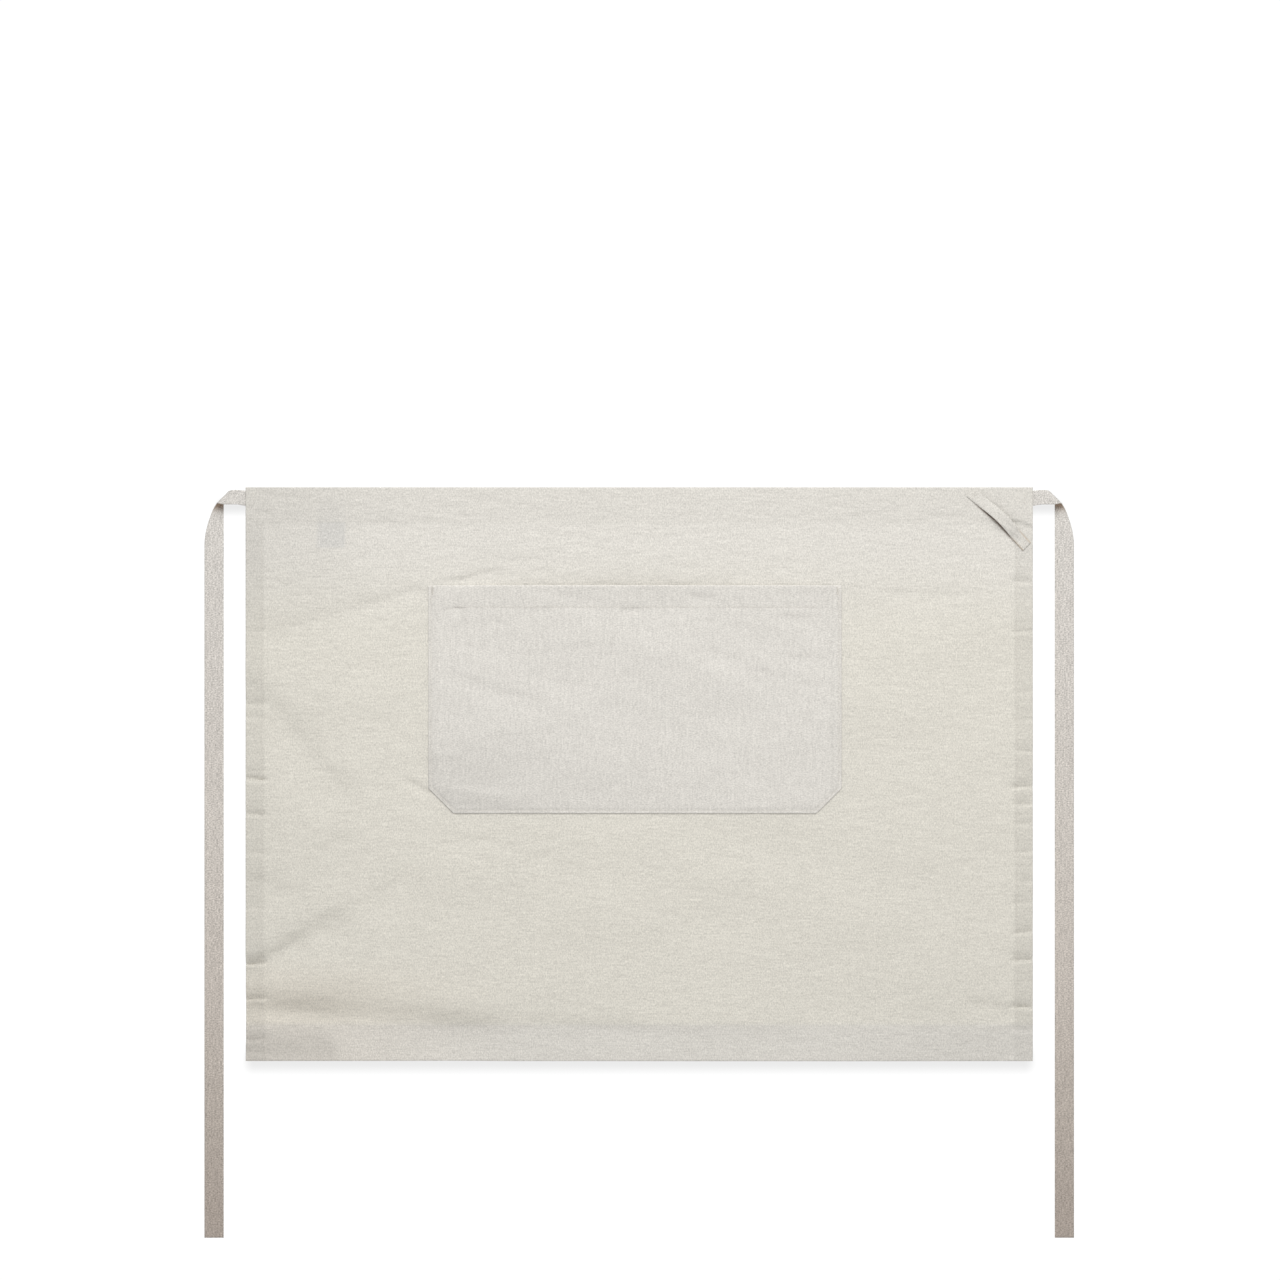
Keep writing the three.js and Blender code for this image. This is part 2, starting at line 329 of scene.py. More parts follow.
POCKET_CREASES = (
    ((-212.5, -86), (-210, -108), 2.2, 0.8),
    ((-210, -111), (-178, -105), 2.4, 1.4),
    ((-152, -114), (-134, -124), 2.6, 0.7),
    ((-211, -161), (-158, -186), 4, 1.2),
    ((-164, -184), (-90, -204), 5.5, 0.7),
    ((-20, -107), (4, -107), 2.8, 0.8),
    ((50, -93), (80, -95), 3.4, 1.2),
    ((92, -95), (104, -98), 3.2, 0.8),
    ((136, -115), (182, -115), 3, 1),
    ((60, -144), (140, -178), 6, 0.9),
    ((110, -172), (196, -195), 6, 1),
    ((156, -154), (202, -160), 4.5, 0.8),
    ((178, -218), (206, -220), 4.5, -0.7),
    ((-213, -250), (-184, -254), 3.5, -0.8),
    ((-200, -290), (-104, -295), 4.5, -1),
    ((52, -300), (80, -300), 3.5, 0.4),
    ((194, -285), (206, -292), 3, 0.5),
)
# Puckers along the side hems, as (z, depth) in millimetres, where the hem's seam draws the cloth in.
LEFT_PUCKERS = (
    (-203, 0.40), (-216, 0.26), (-270, 0.20), (-279, 0.95), (-315, 0.65), (-354, 0.26), (-382, 0.20),
    (-410, 0.28), (-466, 0.85), (-502, 0.65), (-544, 0.85), (-557, 0.28),
)
RIGHT_PUCKERS = (
    (-78, 0.40), (-129, 0.33), (-191, 0.22), (-219, 0.28), (-250, 0.28), (-287, 0.62), (-304, 0.46),
    (-324, 0.28), (-353, 0.28), (-382, 0.33), (-405, 0.33), (-435, 0.78), (-463, 0.72), (-510, 0.65),
    (-534, 0.40),
)


def in_metres(creases):
    return [(np.array(start) / 1000, np.array(end) / 1000, width / 1000, depth / 1000)
            for start, end, width, depth in creases]


def lopsided(distance, width, slow):
    """A valley that is sharp above and comes back slowly below, or the other way where slow is under 1."""
    return np.where(distance > 0, bell(distance, width), bell(distance, width * slow))


def crease(x, z, start, end, width, depth):
    """How far one crease takes the cloth back."""
    span = end - start
    length = np.linalg.norm(span)
    span = span / length
    up = np.array([-span[1], span[0]])
    up = up if up[1] > 0 or (up[1] == 0 and up[0] > 0) else -up
    along = ((x - start[0]) * span[0] + (z - start[1]) * span[1]) / length
    window = smooth(-0.12, 0.22, along) * (1 - smooth(0.78, 1.12, along))
    wander = min(0.25 * width, 0.0010) * np.sin(along * 7 + depth * 9000)
    distance = (x - start[0]) * up[0] + (z - start[1]) * up[1] + wander
    return depth * window * lopsided(distance, width, 2.2)


def puckers(x, z):
    """How far the side hems' puckers take the cloth back."""
    total = np.zeros(np.broadcast(x, z).shape)
    for side, rows in ((-1, LEFT_PUCKERS), (1, RIGHT_PUCKERS)):
        inwards = SIDE_SEAM_X - side * x
        window = (1 - smooth(-0.002, 0.009, inwards)) * (1 - 0.5 * smooth(0.012, 0.021, -inwards))
        for place, depth in rows:
            lean = 0.05 * (side * x - SIDE_SEAM_X) * (1 if (place % 2) else -1)
            above = z - place / 1000 - lean
            profile = np.where(above > 0, np.clip(1 - above / 0.0135, 0, 1) ** 2, bell(above, 0.0017))
            total = total + 4.0 * depth / 1000 * window * profile
    return total


def fine_wrinkles(count):
    """Small, nearly level creases left by folding, scattered with a fixed seed."""
    rng = np.random.default_rng(61)
    found = []
    for _ in range(count):
        x, z = rng.uniform(-0.39, 0.37), rng.uniform(-0.56, -0.03)
        length, rise = rng.uniform(0.022, 0.070), rng.uniform(-0.16, 0.16)
        width, depth = rng.uniform(0.0018, 0.0034), rng.uniform(0.00008, 0.00030)
        start = np.array([x, z])
        found.append((start, start + np.array([length, length * rise]), width, depth))
    return found


PANEL_FOLDS = in_metres(PANEL_CREASES) + fine_wrinkles(80)
POCKET_FOLDS = in_metres(POCKET_CREASES)


def seam_draw(x, z):
    """How far the seams pull the cloth back."""
    below_band = 1 - smooth(TOP_HEM_Z - 0.004, TOP_HEM_Z, z)
    sides = bell(np.abs(x) - SIDE_SEAM_X, 0.0017) * below_band
    bands = bell(z - TOP_SEAM_Z, 0.0016) + bell(z - BOTTOM_SEAM_Z, 0.0018)
    beat = 0.75 + 0.25 * ripples(x, z, 0.010, 0.010, 5)
    return (0.00024 * sides + 0.00003 * bands) * beat


def drape(x, z):
    """How far the apron's cloth stands forward of its flat place, in metres."""
    in_hem = np.maximum(smooth(SIDE_SEAM_X - 0.003, SIDE_SEAM_X, np.abs(x)),
                        np.maximum(smooth(TOP_SEAM_Z - 0.012, TOP_SEAM_Z, z),
                                   1 - smooth(BOTTOM_SEAM_Z, BOTTOM_SEAM_Z + 0.012, z)))
    hang = smooth(TOP, TOP - 0.20, z)
    loose = 0.00050 * hang * ripples(x, z, 0.30, 0.11, 11)
    loose = loose + 0.00006 * ripples(x, z, 0.06, 0.012, 12)
    fine = 0.000012 * ripples(x, z, 0.020, 0.005, 13)
    body = loose + fine - 0.00025 * (1 - in_hem)
    for fold in PANEL_FOLDS:
        body = body - crease(x, z, *fold)
    return body - puckers(x, z) - seam_draw(x, z)


def panel_front(x, z):
    return PANEL_FRONT - drape(x, z)


# ---- Linen, thread and tape ----

LINEN = (0.594, 0.572, 0.528)
THREAD_COLOUR = (0.60, 0.575, 0.525)
TAPE_COLOUR = (0.80, 0.80, 0.79)


class Nodes:
    """A material's node tree, with short calls for the nodes used here."""

    def __init__(self, name):
        self.material = bpy.data.materials.new(name)
        self.material.use_nodes = True
        self.tree = self.material.node_tree
        self.shader = self.tree.nodes["Principled BSDF"]

    def add(self, kind, values=None, **settings):
        """A new node, with its inputs' values by name and its own settings."""
        node = self.tree.nodes.new(kind)
        for key, value in settings.items():
            setattr(node, key, value)
        for key, value in (values or {}).items():
            node.inputs[key].default_value = value
        return node

    def link(self, source, target):
        self.tree.links.new(source, target)

    def feed(self, target, value):
        """Links a node's input to a socket, or gives it a plain value."""
        if isinstance(value, bpy.types.NodeSocket):
            self.link(value, target)
        else:
            target.default_value = value

    def number(self, operation, a, b, kind="ShaderNodeMath"):
        """a and b are sockets or numbers."""
        node = self.add(kind, operation=operation)
        self.feed(node.inputs[0], a)
        self.feed(node.inputs[1], b)
        return node.outputs[0]

    def vector(self, operation, a, b):
        """a and b are sockets or triples."""
        return self.number(operation, a, b, "ShaderNodeVectorMath")

    def attribute(self, name, output):
        return self.add("ShaderNodeAttribute", attribute_name=name).outputs[output]

    def noise(self, place, stretch, detail=2.0, roughness=0.5):
        """Noise around 0, with features of about the stretch's three lengths, in metres."""
        scaled = self.vector("DIVIDE", place, stretch)
        node = self.add("ShaderNodeTexNoise", {"Scale": 1.0, "Detail": detail, "Roughness": roughness})
        self.link(scaled, node.inputs["Vector"])
        return self.number("SUBTRACT", node.outputs[0], 0.5)

    def wave(self, place, direction, pitch, distortion):
        """A wave of thread from 0 to 1, with the given pitch in metres."""
        values = {"Scale": 2 * math.pi / 20 / pitch, "Distortion": distortion, "Detail Scale": 1.5}
        node = self.add("ShaderNodeTexWave", values, bands_direction=direction)
        self.link(place, node.inputs["Vector"])
        return node.outputs["Fac"]

    def bump(self, height, distance, strength, normal=None):
        node = self.add("ShaderNodeBump", {"Distance": distance, "Strength": strength})
        self.link(height, node.inputs["Height"])
        if normal is not None:
            self.link(normal, node.inputs["Normal"])
        return node.outputs[0]

    def set_shader(self, colour, fields, normal, surface):
        """A colour varied by (field, share) pairs, a normal and the surface's uniform values."""
        level = 1.0
        for field, share in fields:
            level = self.number("ADD", self.number("MULTIPLY", field, share), level)
        scaled = self.add("ShaderNodeVectorMath", operation="SCALE")
        self.feed(scaled.inputs[0], colour)
        self.link(level, scaled.inputs["Scale"])
        self.link(scaled.outputs[0], self.shader.inputs["Base Color"])
        self.link(normal, self.shader.inputs["Normal"])
        for name, value in surface.items():
            self.shader.inputs[name].default_value = value
        return self.material


WEAVE_PITCH = 0.00085
SLUB_LENGTH, SLUB_WIDTH = 0.012, 0.0010
GRAIN_LENGTH, GRAIN_WIDTH = 0.0019, 0.0011


def linen(name, upright, slub=0.26, cross=0.98):
    """Plain-woven linen. The thick slubs run up the cloth where upright is true, and across it where not."""
    nodes = Nodes(name)
    place = nodes.attribute("cloth", "Vector")
    main = (SLUB_WIDTH, SLUB_LENGTH, 1) if upright else (SLUB_LENGTH, SLUB_WIDTH, 1)
    other = (GRAIN_LENGTH, GRAIN_WIDTH, 1) if upright else (GRAIN_WIDTH, GRAIN_LENGTH, 1)
    slubs = nodes.noise(place, main)
    threads = nodes.noise(nodes.vector("ADD", place, (3.1, 1.7, 0.4)), other, detail=3.0, roughness=0.65)
    clouds = nodes.noise(place, (0.05, 0.035, 1), detail=3.0)
    warp = nodes.wave(place, "X", WEAVE_PITCH, 1.2)
    weft = nodes.wave(place, "Y", WEAVE_PITCH * 1.1, 1.2)
    weave = nodes.number("ADD", nodes.number("MULTIPLY", warp, 0.5), nodes.number("MULTIPLY", weft, 0.5))
    normal = nodes.bump(weave, 0.00007, 0.5)
    normal = nodes.bump(nodes.number("ADD", slubs, threads), 0.00025, 0.5, normal)
    colour = nodes.vector("MULTIPLY", nodes.attribute("tone", "Color"), LINEN)
    surface = {"Roughness": 0.92, "Specular IOR Level": 0.15, "Sheen Weight": 0.08, "Sheen Roughness": 0.6}
    return nodes.set_shader(colour, ((slubs, slub), (threads, cross), (clouds, 0.03)), normal, surface)


def sewing_thread(name):
    nodes = Nodes(name)
    fibres = nodes.noise(nodes.attribute("cloth", "Vector"), (0.0004, 0.0004, 0.0004))
    surface = {"Roughness": 0.6, "Specular IOR Level": 0.3}
    return nodes.set_shader(THREAD_COLOUR, ((fibres, 0.25),), nodes.bump(fibres, 0.00008, 0.5), surface)


def label_tape(name):
    """Close-woven white satin tape with no print."""
    nodes = Nodes(name)
    place = nodes.attribute("cloth", "Vector")
    yarns = nodes.wave(place, "X", 0.0004, 0.6)
    rows = nodes.wave(place, "Y", 0.0006, 0.6)
    uneven = nodes.noise(place, (0.004, 0.0008, 1))
    normal = nodes.bump(nodes.number("ADD", yarns, rows), 0.00004, 0.4)
    surface = {"Roughness": 0.55, "Sheen Weight": 0.1}
    return nodes.set_shader(TAPE_COLOUR, ((uneven, 0.08),), normal, surface)


PANEL_LINEN = linen("panel_linen", upright=False)
HEM_LINEN = linen("hem_linen", upright=True)
POCKET_LINEN = linen("pocket_linen", upright=True)
TIE_LINEN = linen("tie_linen", upright=False, slub=0.50, cross=2.1)
LOOP_LINEN = linen("loop_linen", upright=False, slub=0.12)
THREAD_LINEN = sewing_thread("sewing_thread")
TAPE = label_tape("label_tape")


# ---- Sizes of the hanging loop, which shades the panel under it ----

LOOP_UPPER = np.array([0.3369, 0.0134])
LOOP_LOWER = np.array([0.3940, -0.0419])
LOOP_WIDTH = 0.011
LOOP_PAD = 0.009
LOOP_HEIGHT = 0.0034
LOOP_BOW = 0.0028
LOOP_REAR = POCKET_HI.y
LOOP_SPAN = float(np.linalg.norm(LOOP_LOWER - LOOP_UPPER))
LOOP_ALONG = (LOOP_LOWER - LOOP_UPPER) / LOOP_SPAN
LOOP_ACROSS = np.array([-LOOP_ALONG[1], LOOP_ALONG[0]])
LOOP_MIDDLE = (LOOP_UPPER + LOOP_LOWER) / 2

# ---- Apron body ----


def bend_at_skirt(piece):
    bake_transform(piece)


def loop_gap(x, z):
    """Where the panel lies in the dark under the hanging loop's lower edge."""
    away = (np.stack([x, z], axis=-1) - LOOP_MIDDLE) @ np.stack([LOOP_ALONG, LOOP_ACROSS], axis=-1)
    share = np.clip(np.abs(away[..., 0]) / (LOOP_SPAN / 2 - LOOP_PAD), 0, 1)
    arch = (1 - share ** 2) ** 2
    edge = away[..., 1] + LOOP_WIDTH / 2 - LOOP_BOW * arch
    return bell(edge + 0.0001, 0.0005 + 0.0011 * arch) * (1 - share ** 2) ** 0.4


def label_shade(x, z):
    """Where the care label shows through the cloth, less so through the top hem."""
    soft = 0.0012
    inside = smooth(LABEL_LO.x - soft, LABEL_LO.x + soft, x) * smooth(LABEL_HI.x + soft, LABEL_HI.x - soft, x)
    inside = inside * smooth(LABEL_LO.z - soft, LABEL_LO.z + soft, z)
    return inside * np.where(z > TOP_HEM_Z, 0.35 * smooth(TOP, TOP_HEM_Z, z), 1)


def tinted(tint, share, taken):
    """A tint with a share of each of its colours taken away."""
    return tint * (1 - share[:, None] * np.array(taken))


def panel_tone(x, z, out):
    """The hems are two layers, so they look darker, and large soft patches are lighter or darker."""
    front = out > 0
    below_band = 1 - smooth(TOP_HEM_Z - 0.002, TOP_HEM_Z, z)
    side = smooth(SIDE_HEM_X - 0.002, SIDE_HEM_X + 0.001, np.abs(x)) * below_band
    top = smooth(TOP_HEM_Z - 0.004, TOP_HEM_Z + 0.002, z)
    low = 1 - smooth(BOTTOM_HEM_Z - 0.002, BOTTOM_HEM_Z + 0.004, z)
    level = 1 - 0.045 * np.maximum(top, low) - 0.075 * side * (1 - 0.4 * low)
    # The side hem's folded end shows through the bottom left corner, with a slanting edge.
    patch_end = -0.320 - 0.56 * (z + 0.5306)
    level = level - 0.12 * (1 - smooth(-0.007, 0.007, x - patch_end)) * bell(z + 0.550, 0.017)
    # Light and shade too broad for the folds: bottom left, left seam, bottom right, top left, left side.
    level = level - 0.03 * low * smooth(-0.20, -0.38, x)
    level = level + 0.03 * bell(x + SIDE_SEAM_X - 0.001, 0.0010) * bell(z + 0.49, 0.035)
    level = level - 0.02 * smooth(0.19, 0.30, x) * smooth(-0.40, -0.50, z)
    level = level - 0.05 * smooth(-0.22, -0.38, x) * smooth(-0.16, -0.03, z)
    level = level - 0.02 * smooth(-0.26, -0.38, x)
    # Painted light: a band just above the pocket's mouth is lightened to lift the shade that the standing-off
    # mouth casts there.
    light_above_mouth = bell(z - POCKET_HI.z, 0.0045) * smooth(POCKET_LO.x, POCKET_LO.x + 0.06, x)
    level = level + 0.10 * front * light_above_mouth * (1 - smooth(POCKET_HI.x - 0.06, POCKET_HI.x, x))
    tint = tinted(grey(level), smooth(-0.03, -0.14, z) * (1 - low), (0.0, 0.003, 0.032))
    tint = tinted(tint, smooth(-0.10, -0.36, x) * smooth(-0.45, -0.50, z), (0.0, 0.020, 0.036))
    tint = tinted(tint, front * loop_gap(x, z), (0.84, 0.92, 0.96))
    return tinted(tint, label_shade(x, z), (0.085, 0.075, 0.055))


def make_panel():
    """The whole front cloth as one sheet, from the waistband to the bottom edge."""
    seam = SIDE_SEAM_X - 0.004
    u = grid_lines(-HALF, (-seam, 0.0012), (0.335, 0.0036), (seam, 0.0011), (HALF, 0.0012))
    v = grid_lines(BOTTOM, (BOTTOM_HEM_Z - 0.004, 0.0018), (BOTTOM_HEM_Z + 0.002, 0.001),
                   (TOP_HEM_Z - 0.003, 0.0015), (TOP, 0.0010))

    def place(x, z, out):
        return np.stack([x, PANEL_Y - drape(x, z) - out, z], axis=-1)

    piece = slab("apron_panel", u, v, place, CLOTH, PANEL_LINEN, tone=panel_tone)
    bend_at_skirt(piece)
    stand_in(piece, "linen_panel", "upper_panel", "skirt_panel")
    return piece


HEM_CLOTH = HEM_REAR - PANEL_HI.y - 0.00003
HEM_Y = HEM_REAR - HEM_CLOTH / 2
HEM_GRID = 0.0024


def hem_slab(name, u, v, square):
    """Turned cloth behind the panel. It bulges back over the tie's sewn end."""
    def place(x, z, out):
        over_tie = smooth(0.3795, 0.3835, np.abs(x)) * smooth(-0.006, -0.001, z)
        rear = np.where(out < 0, 0.0006, 0) * over_tie
        bellied = 0.00010 * ripples(x, z, 0.03, 0.012, 21) * (out < 0)
        return np.stack([x, HEM_Y - drape(x, z) - out + rear + bellied, z], axis=-1)

    return slab(name, u, v, place, HEM_CLOTH, HEM_LINEN, square=square, seed=2.0)


def make_hems():
    across = grid_lines(-HALF, (-HALF + 0.022, 0.0022), (HALF - 0.022, 0.0045), (HALF, 0.0022))
    made = []
    bands = (("top_hem", TOP_HEM_Z, TOP, "waistband"), ("bottom_hem", BOTTOM, BOTTOM_HEM_Z, "skirt"))
    for node, low, high, body in bands:
        hem = hem_slab(f"{node}_turning", across, grid_lines(low, (high, HEM_GRID)), square=())
        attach(hem, body)
        stand_in(hem, "linen_hem", node)
        made.append(hem)
    up = grid_lines(BOTTOM_HEM_Z, (TOP_HEM_Z, HEM_GRID))
    for word, side in SIDES:
        u = np.sort(side * grid_lines(SIDE_HEM_X, (HALF, 0.0018)))
        hem = hem_slab(f"{word}_side_hem_turning", u, up, square=("v0", "v1"))
        bend_at_skirt(hem)
        stand_in(hem, "linen_hem", f"{word}_upper_side_hem", f"{word}_side_hem")
        made.append(hem)
    return made


def sewn(name, runs, node, body=None):
    """A seam's stitches, which stand for the CAD thread. Without a body they are not attached."""
    piece = thread_piece(name, runs)
    if body is not None:
        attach(piece, body)
    stand_in(piece, "sewing_thread", node)
    return piece


def hem_rear(x, z):
    return HEM_REAR - drape(x, z)


def through_stitches(path, proud=0.3):
    """A seam through the panel and its hem, with a row of stitches on each side."""
    return stitches(path, panel_front, proud) + stitches(path, hem_rear, outward=1)


def make_body_seams():
    end = HALF - 0.004
    for node, z, body in (("top_hem", TOP_SEAM_Z, "waistband"), ("bottom_hem", BOTTOM_SEAM_Z, "skirt")):
        runs = through_stitches([(-end, z), (end, z)], proud=-0.5)
        sewn(f"{node}_stitches", runs, f"{node}_seam", body)
    for word, side in SIDES:
        x = side * SIDE_SEAM_X
        runs = through_stitches([(x, BOTTOM_HEM_Z), (x, TOP_SEAM_Z - 0.003)])
        bend_at_skirt(sewn(f"{word}_side_stitches", runs, f"{word}_side_seam"))


panel = make_panel()
hems = make_hems()
make_body_seams()

# ---- Pocket ----

POCKET_X = (POCKET_LO.x + POCKET_HI.x) / 2
POCKET_HALF = (POCKET_HI.x - POCKET_LO.x) / 2
POCKET_TOP = POCKET_HI.z
POCKET_BOTTOM = POCKET_LO.z
POCKET_Y = (POCKET_LO.y + POCKET_HI.y) / 2
POCKET_CORNER = 0.0254
EDGE_WIDTH = 0.0068
POCKET_BULGE = 0.0045
LEAF_HALF = POCKET_HALF - 0.007
LEAF_BOTTOM = POCKET_BOTTOM + 0.007


def pocket_outline(inset):
    """The pocket's left, bottom and right sides with cut corners, moved inwards."""
    left, right = POCKET_X - POCKET_HALF + inset, POCKET_X + POCKET_HALF - inset
    bottom = POCKET_BOTTOM + inset
    corner = POCKET_CORNER + inset * math.tan(math.pi / 8) - inset
    return np.array([
        (left, POCKET_TOP), (left, bottom + corner), (left + corner, bottom),
        (right - corner, bottom), (right, bottom + corner), (right, POCKET_TOP),
    ])


def leaf_half_width(z):
    """Half the leaf's width at a height, narrower in the cut corners."""
    line = pocket_outline(EDGE_WIDTH)
    return np.interp(z, [line[2][1], line[1][1]], [line[3][0] - POCKET_X, line[4][0] - POCKET_X])


def pocket_inside(x, z):
    """The distance in from the pocket's sewn outline, its cut corners among its sides."""
    line = pocket_outline(0)
    left, right, low = x - line[0][0], line[5][0] - x, z - line[2][1]
    corners = [(side + low - POCKET_CORNER) / math.sqrt(2) for side in (left, right)]
    return np.minimum(np.minimum(np.minimum(left, right), low), np.minimum(*corners))


def stand_off(x, z):
    """How far the slack leaf stands off the panel: nothing at its sewn sides, most at the mouth's middle."""
    across = np.clip((x - POCKET_X) / LEAF_HALF, -1, 1)
    up = np.clip((z - LEAF_BOTTOM) / (POCKET_TOP - LEAF_BOTTOM), 0, 1)
    return POCKET_BULGE * (1 - across ** 2) * up


def pocket_drape(x, z):
    """The pocket follows the panel under it, with creases of its own."""
    inside = pocket_inside(x, z)
    own = 0.00016 * ripples(x, z, 0.08, 0.05, 31) + 0.00002 * ripples(x, z, 0.008, 0.016, 32)
    own = own * smooth(0.004, 0.022, inside)
    for fold in POCKET_FOLDS:
        own = own - crease(x, z, *fold) * smooth(0, 0.003, inside)
    own = np.maximum(own, -0.00018 - 0.6 * stand_off(x, z))
    seam = 0.00022 * bell(inside - 0.0027, 0.0014)
    puffed = 0.00012 * bell(inside - 0.0062, 0.003)
    mouth = 0.00005 * bell(z - MOUTH_SEAM_Z, 0.0016)
    return drape(x, z) + own - seam + puffed - mouth + stand_off(x, z)


def pocket_front(x, z):
    return POCKET_LO.y - pocket_drape(x, z)


def pocket_tone(x, z, out):
    hem = smooth(MOUTH_HEM_LO.z - 0.001, MOUTH_HEM_LO.z + 0.001, z)
    inside = pocket_inside(x, z)
    turned = 1 - smooth(0.0095, 0.0115, inside)
    low_left = smooth(-0.03, -0.20, x) * smooth(-0.22, -0.30, z)
    # Painted highlight along the pocket's top edge.
    rim = 0.10 * smooth(POCKET_TOP - 0.0015, POCKET_TOP, z)
    lower_edge = 1 - smooth(POCKET_BOTTOM + 0.022, POCKET_BOTTOM + 0.040, z)
    # Painted light and shade near the lower edge: a light line on the seam's ridge, a dark line just inside
    # it.
    ridge = 0.09 * bell(inside - 0.0021, 0.0008) - 0.05 * bell(inside - 0.0042, 0.0010)
    right = POCKET_HALF - (x - POCKET_X)
    # Painted light and shade along the right side: a light line over the turned edge, a dark line just inside
    # it.
    turning = 0.025 * bell(right - 0.0070, 0.0018) - 0.045 * bell(right - 0.0100, 0.0013)
    turning = turning * (0.7 + 0.3 * ripples(x, z, 0.5, 0.05, 33))
    level = 0.992 - 0.035 * np.maximum(hem, 0.6 * turned) - 0.085 * low_left
    level = level + rim + ridge * lower_edge + turning
    return grey(level) * np.array([1.0, 1.0, 1.008])


def pocket_place(x, z, out):
    return np.stack([x, POCKET_Y - pocket_drape(x, z) - out, z], axis=-1)


def middle_side(side):
    """The side of a half piece's grid that meets the other half."""
    return "u0" if side > 0 else "u1"


def bend_at_pocket(piece):
    """Bakes the piece's transform into its mesh."""
    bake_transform(piece)


def make_pocket_edge():
    """The pocket's border, sewn flat to the panel on three sides."""
    inner, outer = pocket_outline(EDGE_WIDTH), pocket_outline(0)
    u = grid_lines(0, (1, 0.17))
    counts = (80, 12, 130, 12, 80)
    v = np.concatenate([k + np.linspace(0, 1, n, endpoint=False) for k, n in enumerate(counts)] + [[5.0]])

    def flat(across, along):
        steps = np.arange(6)
        rows = [np.interp(along, steps, line[:, axis]) for line in (inner, outer) for axis in (0, 1)]
        x = rows[0] + (rows[2] - rows[0]) * across
        z = rows[1] + (rows[3] - rows[1]) * across
        return x, z

    def place(across, along, out):
        return pocket_place(*flat(across, along), out)

    piece = slab("pocket_border", u, v, place, CLOTH, POCKET_LINEN, flat=flat, tone=pocket_tone,
                 square=("u0",), seed=5.0)
    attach(piece, "skirt")
    stand_in(piece, "linen_pocket", "pocket_edge")
    return piece


def make_leaf_half(word, side):
    u = np.sort(side * grid_lines(0, (0.93, 0.0085), (1, 0.006)))
    v = grid_lines(POCKET_BOTTOM + EDGE_WIDTH, (MOUTH_HEM_LO.z - 0.002, 0.0018),
                   (MOUTH_HEM_LO.z + 0.004, 0.001), (POCKET_TOP, 0.0014))

    def flat(share, z):
        return POCKET_X + share * leaf_half_width(z), z

    def place(share, z, out):
        return pocket_place(*flat(share, z), out)

    piece = slab(f"pocket_leaf_{word}", u, v, place, CLOTH, POCKET_LINEN, flat=flat, tone=pocket_tone,
                 square=("u0", "u1", "v0"), seed=5.0)
    bend_at_pocket(piece)
    stand_in(piece, "linen_pocket", "pocket_leaf")
    return piece


def make_mouth_hem_half(word, side):
    span = MOUTH_HEM_HI.x - POCKET_X
    u = np.sort(POCKET_X + side * grid_lines(0, (span, 0.003)))
    v = grid_lines(MOUTH_HEM_LO.z, (POCKET_TOP, 0.0025))

    def place(x, z, out):
        rear = POCKET_Y + CLOTH / 2 + HEM_CLOTH / 2 + 0.00002
        return np.stack([x, rear - pocket_drape(x, z) - out, z], axis=-1)

    piece = slab(f"pocket_mouth_hem_{word}", u, v, place, HEM_CLOTH, HEM_LINEN,
                 square=(middle_side(side),), seed=7.0)
    bend_at_pocket(piece)
    stand_in(piece, "linen_hem", "pocket_mouth_hem")
    return piece


def make_pocket_seams():
    line = pocket_outline(0.0027)
    sewn("pocket_stitches", stitches(line, pocket_front), "pocket_seam", "skirt")
    span = MOUTH_HEM_HI.x - POCKET_X
    for word, side in SIDES:
        ends = sorted((POCKET_X, POCKET_X + side * span))
        runs = stitches([(x, MOUTH_SEAM_Z) for x in ends], pocket_front)
        bend_at_pocket(sewn(f"pocket_mouth_stitches_{word}", runs, "pocket_mouth_seam"))
        make_bar_tack(word)


def make_bar_tack(word):
    """Close stitches laid side by side over a corner of the mouth."""
    low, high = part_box(f"{word}_pocket_bar_tack")
    runs = []
    for z in np.arange(low.z + THREAD, high.z, 1.7 * THREAD):
        ends = [np.array([x, float(pocket_front(x, z)) - 0.2 * THREAD, z]) for x in (low.x, high.x)]
        runs.append((*ends, FORWARD))
    sewn(f"{word}_bar_tack_stitches", runs, f"{word}_pocket_bar_tack", "skirt")


border = make_pocket_edge()
leaf_halves = [make_leaf_half(*which) for which in SIDES]
mouth_hems = [make_mouth_hem_half(*which) for which in SIDES]
make_pocket_seams()

# ---- Ties ----

TIE_THICKNESS = 0.0008
TIE_Z = 0.0075
TIE_Y = -0.0002
TIE_HIDDEN = 0.0157
TIE_LENGTH = 0.797
TIE_FOLD_AT = 0.0181
TIE_FOLD_RADIUS = 0.0045
TIE_WIDTH = 0.019
# Cross creases of the hanging part, as (z, depth) in millimetres.
TIE_CREASES = (
    (-64, 0.35), (-249, 0.20), (-353, 0.20), (-386, 0.32), (-405, 0.42), (-438, 0.26), (-468, 0.24),
    (-573, 0.36), (-593, 0.52), (-600, 0.50), (-626, 0.45), (-646, 0.45), (-662, 0.28), (-724, 0.26),
)


def tie_upper_edge(along):
    """The tie is bunched at the fold."""
    return 0.0072 + 0.0006 * smooth(0, 0.010, along) - 0.0034 * smooth(0.018, 0.036, along)


def tie_lower_edge(along):
    """The tie's outer edge spreads quickly below the fold."""
    spread = np.clip((along - 0.034) / 0.042, 0, 1)
    level = -0.0076 + 0.0013 * smooth(0, 0.010, along) + 0.0026 * smooth(0.022, 0.034, along)
    return level - 0.01085 * np.sin(spread * math.pi / 2)


def tie_across(along, share):
    """The height of a point of the flat tie, where share is -1 at its lower edge and 1 at its upper one."""
    upper, lower = tie_upper_edge(along), tie_lower_edge(along)
    return (upper + lower + share * (upper - lower)) / 2


